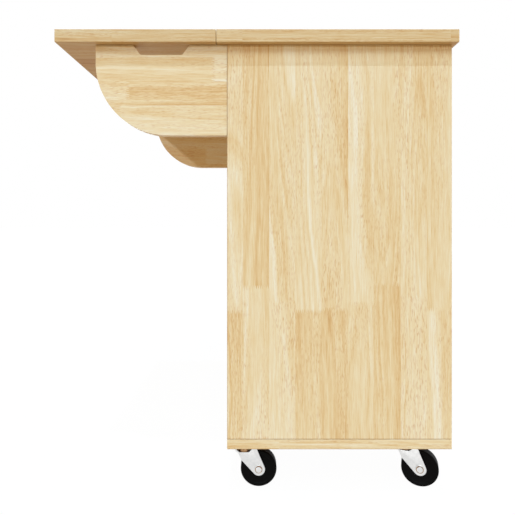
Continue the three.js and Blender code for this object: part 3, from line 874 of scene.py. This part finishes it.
def leg_outline(trail):
    """A fork leg in X and Z, from its shoulder at the cup down to its round foot."""

    def touch(point, turn):
        """The angle on the foot where a straight edge from a point meets it."""
        aside = math.acos(LEG_FOOT / math.hypot(*point))
        return math.degrees(math.atan2(point[1], point[0]) + turn * aside)

    rise = FORK_TOP - AXLE_HEIGHT
    back = (-trail - LEG_BACK, rise)
    bend = (-trail - LEG_BEND[0], LEG_BEND[1])
    front = (-LEG_FRONT, rise)
    start = touch(bend, 1) % 360
    end = touch(front, -1) % 360 + 360
    shin = rounded([back, bend, (0, 0)], LEG_BEND_RADIUS, ends_sharp=True)[:-1]
    outline = [*shin, *arc((0, 0), LEG_FOOT, start, end, 40), front]
    return [(x + trail, z + AXLE_HEIGHT) for x, z in outline]


def fork_mesh(trail):
    """Two legs that hang from a dished cup, all one sheet, cut flush and relieved over the wheel."""
    wheel_at = (trail, 0, AXLE_HEIGHT)
    inside = in_metres(CUP_INSIDE)
    fork = lathe_object("fork", [(0, CUP_FOOT), *in_metres(CUP_OUTSIDE), (0, FORK_TOP)], Z)
    for sign in (-1, 1):
        bm = bmesh.new()
        prism(bm, leg_outline(trail), *sorted((sign * LEG_INNER, sign * LEG_OUTER)), Y)
        cut(fork, new_object("leg", bm, ZINC), "UNION")
    cut(fork, lathe_object("hollow", [(0, CUP_FLOOR), *inside, (0, inside[-1][1])], Z))
    cut(fork, lathe_object("bore", drum(KINGPIN_HOLE, CUP_FLOOR - THROUGH, CUP_FLOOR + THROUGH), Z))
    for sign in (-1, 1):
        low, high = sorted((sign * LEG_OUTER, sign * BEYOND))
        cut(fork, slab("trim", (-BEYOND, low, CUP_FOOT - THROUGH), (BEYOND, high, FORK_TOP + THROUGH)))
    cut(fork, lathe_object("relief", drum(WHEEL_RELIEF, -LEG_INNER, LEG_INNER), Y, wheel_at, 128))
    cut(fork, lathe_object("axle_hole", drum(AXLE_HOLE, -BEYOND, BEYOND), Y, wheel_at, 48))
    bm = bmesh.new()
    bm.from_mesh(fork.data)
    bpy.data.objects.remove(fork)
    bmesh.ops.remove_doubles(bm, verts=bm.verts, dist=2 * WELD)
    bmesh.ops.dissolve_limit(bm, angle_limit=math.radians(0.5), verts=bm.verts, edges=bm.edges)
    soften(bm, 0.3 * MM, segments=2, angle=40)
    return bm


def caster_plate_mesh():
    """The mounting plate with its four screws, the race that the fork hangs from, and the kingpin."""
    bm = bmesh.new()
    square = [(-PLATE_HALF, -PLATE_HALF), (PLATE_HALF, -PLATE_HALF)]
    square += [(PLATE_HALF, PLATE_HALF), (-PLATE_HALF, PLATE_HALF)]
    prism(bm, rounded(square, PLATE_CORNER), PLATE_BOTTOM, PLATE_BOTTOM + PLATE_THICKNESS, Z)
    soften(bm, 0.4 * MM, segments=2)
    made = len(bm.faces)
    lathe(bm, in_metres(RACE), Z, steps=96)
    bm.faces.ensure_lookup_table()
    # painted reflection and shade on the race, under the base board
    for face in bm.faces[made:]:
        face.material_index = REFLECTION_AND_SHADE_INDEX
    lathe(bm, in_metres(KINGPIN), Z, steps=48)
    for x in PLATE_SCREW_AT:
        for y in PLATE_SCREW_AT:
            screw_head(bm, (x, y, PLATE_BOTTOM), (0, 0, -1), PLATE_SCREW)
    return bm


def wheel_mesh(trail):
    """A moulded wheel: domed tread, a raised rim, a shallow dished web and a hub."""
    side = in_metres(WHEEL_SIDE + arc(**TREAD_SHOULDER)) + [(WHEEL_RADIUS, TREAD_HALF)]
    mirrored = [(r, -y) for r, y in side]
    bm = bmesh.new()
    lathe(bm, [*mirrored, *side[::-1], mirrored[0]], Y, (trail, 0, AXLE_HEIGHT), steps=128)
    return bm


def axle_mesh(trail):
    """A rivet through the wheel, with a washer and a flat domed head outside each leg."""
    half = in_metres(AXLE_HEAD)
    mirrored = [(r, -y) for r, y in half][::-1]
    bm = bmesh.new()
    lathe(bm, [*mirrored, *half], Y, (trail, 0, AXLE_HEIGHT), steps=48)
    # painted shade in the groove of each washer
    for face in bm.faces:
        middle = face.calc_center_median()
        if AXLE_GROOVE[0] < math.hypot(middle[X] - trail, middle[Z] - AXLE_HEIGHT) < AXLE_GROOVE[1]:
            face.material_index = REFLECTION_AND_SHADE_INDEX
    return bm


def build_casters():
    for row in ROWS:
        for end, _ in ENDS:
            name = f"{row}_{end}"
            swivel = JOINT_AT[f"caster_{name}_swivel"]
            axle = JOINT_AT[f"wheel_{name}_spin"]
            away = Vector((axle[X] - swivel[X], axle[Y] - swivel[Y]))
            trail = away.length
            fixed = Matrix.Translation((swivel[X], swivel[Y], 0))
            turned = fixed @ Matrix.Rotation(math.atan2(away[Y], away[X]), 4, "Z")
            for part, bm, materials, where in (
                ("plate", caster_plate_mesh(), (ZINC, REFLECTION_AND_SHADE_STEEL), fixed),
                ("fork", fork_mesh(trail), (ZINC,), turned),
                ("axle", axle_mesh(trail), (ZINC, REFLECTION_AND_SHADE_STEEL), turned),
                ("wheel", wheel_mesh(trail), (RUBBER,), turned),
            ):
                node = f"caster_{part}_{name}"
                bm.transform(where)
                piece = new_object(f"{node}_piece", bm, *materials)
                stand_for(smooth_by_angle(piece), node)


build_boards()
build_brackets()
build_knobs()
build_hinges()
build_shelf_pins()
build_casters()

# ---------------------------------------------------------------- floor, light and camera

FLOOR_HALF = 30.0
FLOOR_DROP = 0.5 * MM
FLOOR_DIFFUSE = 0.025  # the rest of its white is its own light, so that it stays pale


def build_floor():
    bm = bmesh.new()
    bmesh.ops.create_grid(bm, x_segments=1, y_segments=1, size=FLOOR_HALF)
    material, graph = material_graph("pale_floor")
    color = (FLOOR_DIFFUSE, FLOOR_DIFFUSE, FLOOR_DIFFUSE, 1)
    diffuse = graph.add("ShaderNodeBsdfDiffuse", {"Color": color})
    glow = graph.add("ShaderNodeEmission", {"Color": (1, 1, 1, 1), "Strength": 1 - FLOOR_DIFFUSE})
    total = graph.add("ShaderNodeAddShader")
    graph.feed(total.inputs[0], diffuse.outputs[0])
    graph.feed(total.inputs[1], glow.outputs[0])
    output = graph.add("ShaderNodeOutputMaterial")
    graph.feed(output.inputs["Surface"], total.outputs[0])
    floor = new_object("floor", bm, material)
    floor.location.z = -FLOOR_DROP
    floor.visible_diffuse = False


FILL_ABOVE = (0.425, 0.31, 0.2, 1)
FILL_BELOW = (0.5, 0.352, 0.19, 1)


def build_world():
    """White where it is seen or mirrored. The light that it sheds on the object is warmer and dimmer."""
    world = bpy.data.worlds.new("studio")
    bpy.context.scene.world = world
    world.use_nodes = True
    graph = Graph(world.node_tree)
    direction = graph.add("ShaderNodeTexCoord").outputs["Generated"]
    height = graph.axes(direction)[Z]
    fill = graph.mix(graph.ramp(height, -0.25, 0.25), FILL_BELOW, FILL_ABOVE)
    diffuse = graph.add("ShaderNodeLightPath").outputs["Is Diffuse Ray"]
    color = graph.mix(diffuse, (1, 1, 1, 1), fill)
    background = graph.add("ShaderNodeBackground", {"Color": color})
    output = graph.add("ShaderNodeOutputWorld")
    graph.feed(output.inputs["Surface"], background.outputs[0])


def downward(elevation):
    """The way that light travels from high on the near side, at an elevation in degrees."""
    angle = math.radians(elevation)
    return (0.0, math.cos(angle), -math.sin(angle))


SUNS = (
    # name, the way the light travels, strength, colour, apparent size in degrees
    ("key_side", (0.36, 1.0, -0.309), 0.52, (0.97, 1.0, 1.0), 0.8),
    ("key_high", downward(70.4), 2.0, (0.46, 0.68, 0.96), 1.2),
    ("key_middle", downward(50.0), 1.9, (0.68, 0.88, 1.0), 28.0),
    ("fill_front", (-1.0, -0.12, -0.12), 1.3, (0.8, 0.93, 1.0), 30.0),
    ("fill_back", (1.0, -0.2, -0.12), 0.9, (0.8, 0.93, 1.0), 30.0),
    ("fill_far", (0.12, -1.0, -0.12), 1.3, (0.8, 0.93, 1.0), 30.0),
)


def build_lights():
    for name, direction, strength, color, size in SUNS:
        light = bpy.data.lights.new(name, "SUN")
        light.energy = strength
        light.color = color
        light.angle = math.radians(size)
        lamp = bpy.data.objects.new(name, light)
        lamp.rotation_euler = Vector(direction).to_track_quat("-Z", "Y").to_euler()
        bpy.context.scene.collection.objects.link(lamp)


SENSOR = 36.0
LENS = 33.19
CAMERA_SHIFT = -0.0722
CAMERA_ACROSS = -0.0066
CAMERA_AWAY = 0.9115  # from the worktop's near edge
CAMERA_HEIGHT = 0.5469


def build_camera():
    """Level, square on to the near end and a little above the cart's middle."""
    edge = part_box("worktop")[0][Y]
    camera = bpy.data.cameras.new("camera")
    camera.sensor_width = SENSOR
    camera.lens = LENS
    camera.shift_y = CAMERA_SHIFT
    obj = bpy.data.objects.new("camera", camera)
    obj.location = (CAMERA_ACROSS, edge - CAMERA_AWAY, CAMERA_HEIGHT)
    obj.rotation_euler = (math.pi / 2, 0, 0)
    bpy.context.scene.collection.objects.link(obj)
    bpy.context.scene.camera = obj


build_floor()
build_world()
build_lights()
build_camera()
bpy.context.scene.view_settings.view_transform = "Standard"
